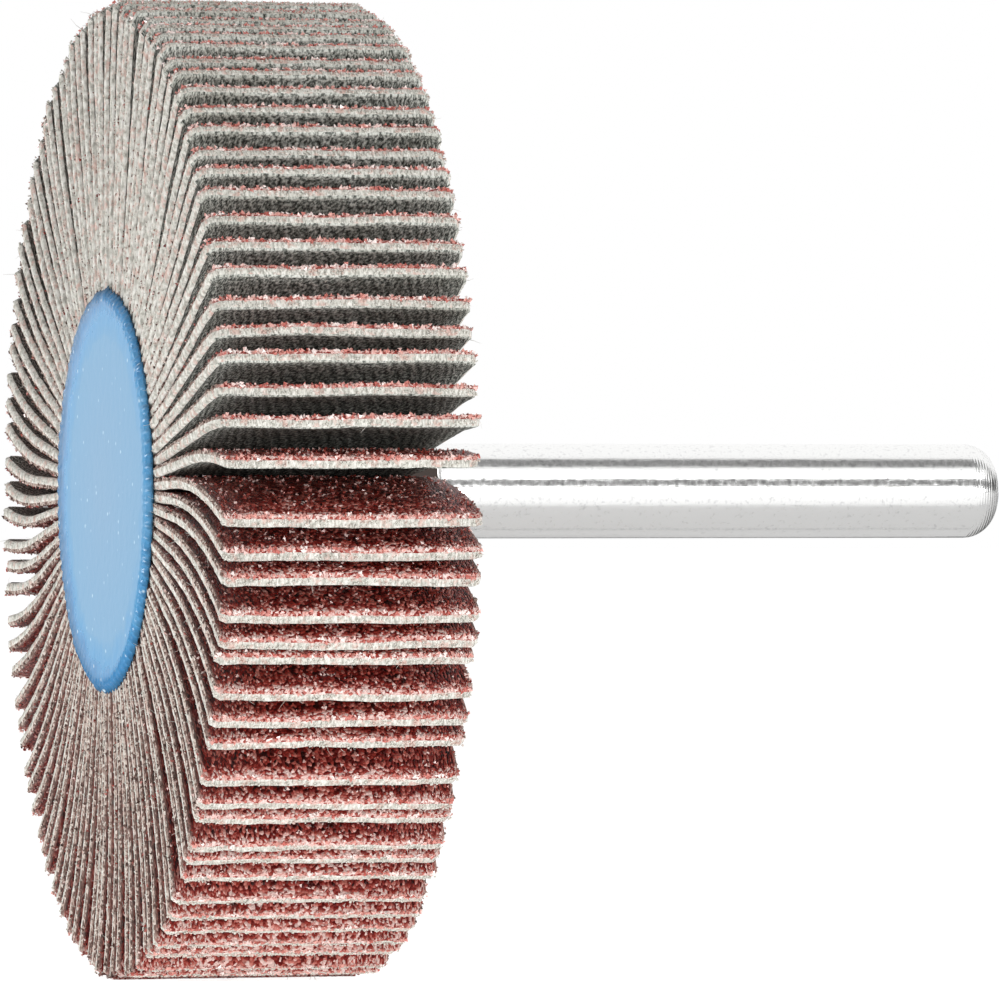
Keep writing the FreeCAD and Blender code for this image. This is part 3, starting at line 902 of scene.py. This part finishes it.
class FLAPWHEEL_OT_core(bpy.types.Operator):
    """Pour the glossy front coat of resin over the core"""
    bl_idname = "flap_wheel.core"
    bl_label = "Build Core"

    def execute(self, context):
        sizes = context.scene.resin_sizes
        material = resin_material(context.scene.finish_colours)
        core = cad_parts["resin_core"]
        core.data.materials.clear()
        core.data.materials.append(material)

        deselect_all()
        bpy.ops.mesh.primitive_uv_sphere_add(segments=4 * FLAP_COUNT, ring_count=30, radius=1)
        coat = bpy.context.object
        coat.name = "resin_front_coat"
        ball = coordinates(coat.data)
        angle = numpy.arctan2(ball[:, 1], ball[:, 0])
        share = numpy.hypot(ball[:, 0], ball[:, 1])
        round_x, round_y = numpy.cos(angle), numpy.sin(angle)
        none = numpy.zeros_like(share)

        # The rim creeps out over the flaps' roots in one small lobe to each flap.
        lobes = numpy.cos(FLAP_COUNT * angle)
        creep = sizes.creep / MM
        uneven = noise_at(round_x * 9, round_y * 9, none)
        rim = CORE_HIGH.z / MM + creep * (RIM_OUT + RIM_LOBES * lobes + RIM_WANDER * uneven)
        distance = rim * share

        # The coat is level in the middle, has a wet bead here and there and runs down at its rim.
        wet = 0.5 + 0.5 * noise_at(round_x * 2.3, round_y * 2.3, none + 20)
        bead = BEAD_HEIGHT * wet * numpy.exp(-((share - RUN_FROM) / BEAD_WIDTH) ** 2)
        run_down = numpy.clip((share - RUN_FROM) / RUN_WIDTH, 0, 1)
        level = sizes.coat / MM
        top = level + bead - (level + EDGE_DROP) * run_down ** 2
        under = -EDGE_DROP - UNDER_BULGE * numpy.sqrt(numpy.clip(1 - share ** 2, 0, 1))
        height = numpy.where(ball[:, 2] >= -1e-6, top, under)
        points = numpy.stack([CORE_LOW.x / MM - height, distance * round_y, distance * round_x], 1)
        set_coordinates(coat.data, points * MM)
        select_only(coat)
        bpy.ops.object.mode_set(mode="EDIT")
        bpy.ops.mesh.select_all(action="SELECT")
        bpy.ops.mesh.normals_make_consistent(inside=False)
        bpy.ops.object.mode_set(mode="OBJECT")
        bpy.ops.object.shade_smooth()
        coat.data.materials.append(material)
        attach(coat, "root")
        return {"FINISHED"}


class FLAPWHEEL_OT_shank(bpy.types.Operator):
    """Finish the shank in bright drawn steel"""
    bl_idname = "flap_wheel.shank"
    bl_label = "Finish Shank"

    def execute(self, context):
        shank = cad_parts["shank"]
        shank.data.materials.clear()
        shank.data.materials.append(steel_material())
        return {"FINISHED"}


# White paper: its own light fills it in for the eye and in polished metal, so that the lamps stay
# at a plain level and the wheel's soft shadow still shows.
def paper_material():
    material, tree = new_material("white_paper_sweep")
    path = node(tree, "ShaderNodeLightPath")
    straight = node(tree, "ShaderNodeMath", {0: path.outputs["Is Camera Ray"],
                                             1: path.outputs["Is Transmission Ray"]},
                    operation="MAXIMUM")
    to_eye = node(tree, "ShaderNodeMath", {0: straight.outputs[0], 1: 0.85},
                  operation="MULTIPLY")
    to_metal = node(tree, "ShaderNodeMath", {0: path.outputs["Is Glossy Ray"], 1: 0.3},
                    operation="MULTIPLY")
    strength = node(tree, "ShaderNodeMath", {0: to_eye.outputs[0], 1: to_metal.outputs[0]},
                    operation="ADD")
    tooth = node(tree, "ShaderNodeTexNoise", {"Scale": 40.0, "Detail": 2.0})
    colour = node(tree, "ShaderNodeValToRGB", {"Fac": tooth.outputs["Fac"]}, stops=[
        (0.0, linear("E6E6E6")), (1.0, linear("EBEBEB"))])
    paper = node(tree, "ShaderNodeBsdfDiffuse", {"Color": colour.outputs[0]})
    glow = node(tree, "ShaderNodeEmission", {"Strength": strength.outputs[0]})
    both = node(tree, "ShaderNodeAddShader", {0: paper.outputs[0], 1: glow.outputs[0]})
    node(tree, "ShaderNodeOutputMaterial", {"Surface": both.outputs[0]})
    return material


# A plain card beside the wheel that only polished metal mirrors; its glow is a painted reflection.
# along and aside are its sides.
def mirror_card(name, middle, along, aside, level):
    material, tree = new_material(name)
    glow = node(tree, "ShaderNodeEmission", {"Color": (level, level, level, 1), "Strength": 1.0})
    node(tree, "ShaderNodeOutputMaterial", {"Surface": glow.outputs[0]})
    deselect_all()
    bpy.ops.mesh.primitive_plane_add(size=1)
    card = bpy.context.object
    card.name = name
    along, aside, middle = numpy.array(along), numpy.array(aside), numpy.array(middle)
    places = coordinates(card.data)
    set_coordinates(card.data, middle + places[:, :1] * along + places[:, 1:2] * aside)
    card.data.materials.append(material)
    card.visible_camera = False
    card.visible_diffuse = False
    card.visible_shadow = False
    card.visible_transmission = False


# A mirror card parallel to the spin axis, between two heights given as angles from the level.
def side_card(name, low, high, level):
    radius = 0.25
    middle = math.radians((low + high) / 2)
    width = 2 * radius * math.tan(math.radians((high - low) / 2))
    mirror_card(name, (0, -radius * math.cos(middle), radius * math.sin(middle)), (0.8, 0, 0),
                (0, width * math.sin(middle), width * math.cos(middle)), level)


def area_light(name, place, size, power, aim=(0, 0, 0)):
    light = bpy.data.lights.new(name, "AREA")
    light.shape = "RECTANGLE"
    light.size, light.size_y = size
    light.energy = power
    item = bpy.data.objects.new(name, light)
    item.location = place
    item.rotation_euler = (Vector(place) - Vector(aim)).to_track_quat("Z", "Y").to_euler()
    bpy.context.scene.collection.objects.link(item)
    return item


# An even white room, brighter where it is seen or mirrored than as a source of light.
def white_room(level):
    world = bpy.data.worlds.new("white_room")
    world.use_nodes = True
    tree = world.node_tree
    tree.nodes.clear()
    path = node(tree, "ShaderNodeLightPath")
    mirrored = node(tree, "ShaderNodeMath", {0: path.outputs["Is Glossy Ray"],
                                             1: path.outputs["Is Transmission Ray"]},
                    operation="MAXIMUM")
    seen = node(tree, "ShaderNodeMath", {0: path.outputs["Is Camera Ray"],
                                         1: mirrored.outputs[0]}, operation="MAXIMUM")
    strength = node(tree, "ShaderNodeMapRange", {"Value": seen.outputs[0], "To Min": level,
                                                 "To Max": 1.0})
    sky = node(tree, "ShaderNodeBackground", {"Color": (1, 1, 1, 1),
                                              "Strength": strength.outputs[0]})
    node(tree, "ShaderNodeOutputWorld", {"Surface": sky.outputs[0]})
    return world


class FLAPWHEEL_OT_studio(bpy.types.Operator):
    """Set up the white sweep, the soft lights and the camera"""
    bl_idname = "flap_wheel.studio"
    bl_label = "Set Up Studio"

    def execute(self, context):
        scene = context.scene
        sizes = scene.studio_sizes
        floor_height = FIRST_BOUNDS[0][2]
        deselect_all()
        bpy.ops.mesh.primitive_plane_add(size=8)
        floor = context.object
        floor.name = "paper_floor"
        points = coordinates(floor.data)
        points[:, 2] = floor_height
        set_coordinates(floor.data, points)
        floor.data.materials.append(paper_material())

        # Each softbox: its name, place, width and height, and power.
        for softbox in (
                ("key_softbox", (0.16, -0.7, 0.01), (0.3, 0.08), sizes.key),
                ("upper_softbox", (0.16, -0.6, 0.48), (0.3, 0.14), sizes.key * 0.6),
                ("left_softbox", (-0.7, 0.15, 0.03), (0.3, 0.16), sizes.left),
                ("side_softbox", (0.7, -0.5, 0.15), (0.4, 0.6), sizes.key * 0.2)):
            area_light(*softbox)

        # Lights that lie on the floor under the wheel and shine straight up.
        for name, (x, y), size, power in (
                ("light_table", (0.0, -0.075), (0.5, 0.21), sizes.low),
                ("left_light_table", (-0.11, 0.02), (0.17, 0.17), sizes.low * 0.5)):
            lamp = area_light(name, (x, y, floor_height + 0.2 * MM), size, power, aim=(x, y, 0))
            lamp.visible_camera = False
            lamp.visible_glossy = False

        # Each card: its name, the middle, its two sides and its level.
        side_card("upper_grey_card", 60, 84, 0.24)
        side_card("camera_side_dark_card", 9, 30, 0.18)
        low = floor_height + 0.5 * MM
        for card in (
                ("floor_line_card", (0, 7 * MM, low), (0.8, 0, 0), (0, 2 * MM, 0), 0.45),
                ("floor_front_card", (0, -0.25, low), (0.8, 0, 0), (0, 0.41, 0), 1.0),
                ("floor_edge_card", (0, 110 * MM, low), (0.8, 0, 0), (0, 90 * MM, 0), 0.25),
                ("end_dark_card", (0.35, 0.05, 0.055), (0, 0.4, 0), (0, 0, 0.11), 0.10),
                ("end_floor_card", (0.095, 0.075, low + 0.5 * MM), (0.08, 0, 0), (0, 0.1, 0),
                 0.15)):
            mirror_card(*card)
        scene.world = white_room(sizes.sky)

        camera = bpy.data.cameras.new("camera")
        camera.sensor_width = 36
        camera.lens = sizes.lens
        camera.clip_end = 20
        item = bpy.data.objects.new("camera", camera)
        scene.collection.objects.link(item)
        view = Vector((-math.sin(sizes.azimuth), math.cos(sizes.azimuth), 0))
        item.location = Vector((sizes.aim, 0, 0)) - view * sizes.distance
        item.rotation_euler = (math.radians(90), 0, sizes.azimuth)
        scene.camera = item
        scene.view_settings.view_transform = "Standard"
        return {"FINISHED"}


class FLAPWHEEL_PT_panel(bpy.types.Panel):
    bl_idname = "FLAPWHEEL_PT_panel"
    bl_label = "Flap Wheel"
    bl_space_type = "VIEW_3D"
    bl_region_type = "UI"
    bl_category = "Flap Wheel"

    def draw(self, context):
        for operator in OPERATORS:
            self.layout.operator(operator.bl_idname)
        for group_name in GROUPS:
            group = getattr(context.scene, group_name)
            for name in group.__annotations__:
                self.layout.prop(group, name)


OPERATORS = (FLAPWHEEL_OT_flaps, FLAPWHEEL_OT_core, FLAPWHEEL_OT_shank, FLAPWHEEL_OT_studio)
GROUPS = {"flap_sizes": FlapSizes, "resin_sizes": ResinSizes, "finish_colours": FinishColours,
          "studio_sizes": StudioSizes}
CLASSES = tuple(GROUPS.values()) + OPERATORS + (FLAPWHEEL_PT_panel,)


def register():
    for item in CLASSES:
        bpy.utils.register_class(item)
    for name, group in GROUPS.items():
        setattr(bpy.types.Scene, name, bpy.props.PointerProperty(type=group))


def unregister():
    for name in GROUPS:
        delattr(bpy.types.Scene, name)
    for item in reversed(CLASSES):
        bpy.utils.unregister_class(item)


def main():
    register()
    bpy.ops.flap_wheel.flaps()
    bpy.ops.flap_wheel.core()
    bpy.ops.flap_wheel.shank()
    bpy.ops.flap_wheel.studio()


if __name__ == "__main__":
    main()
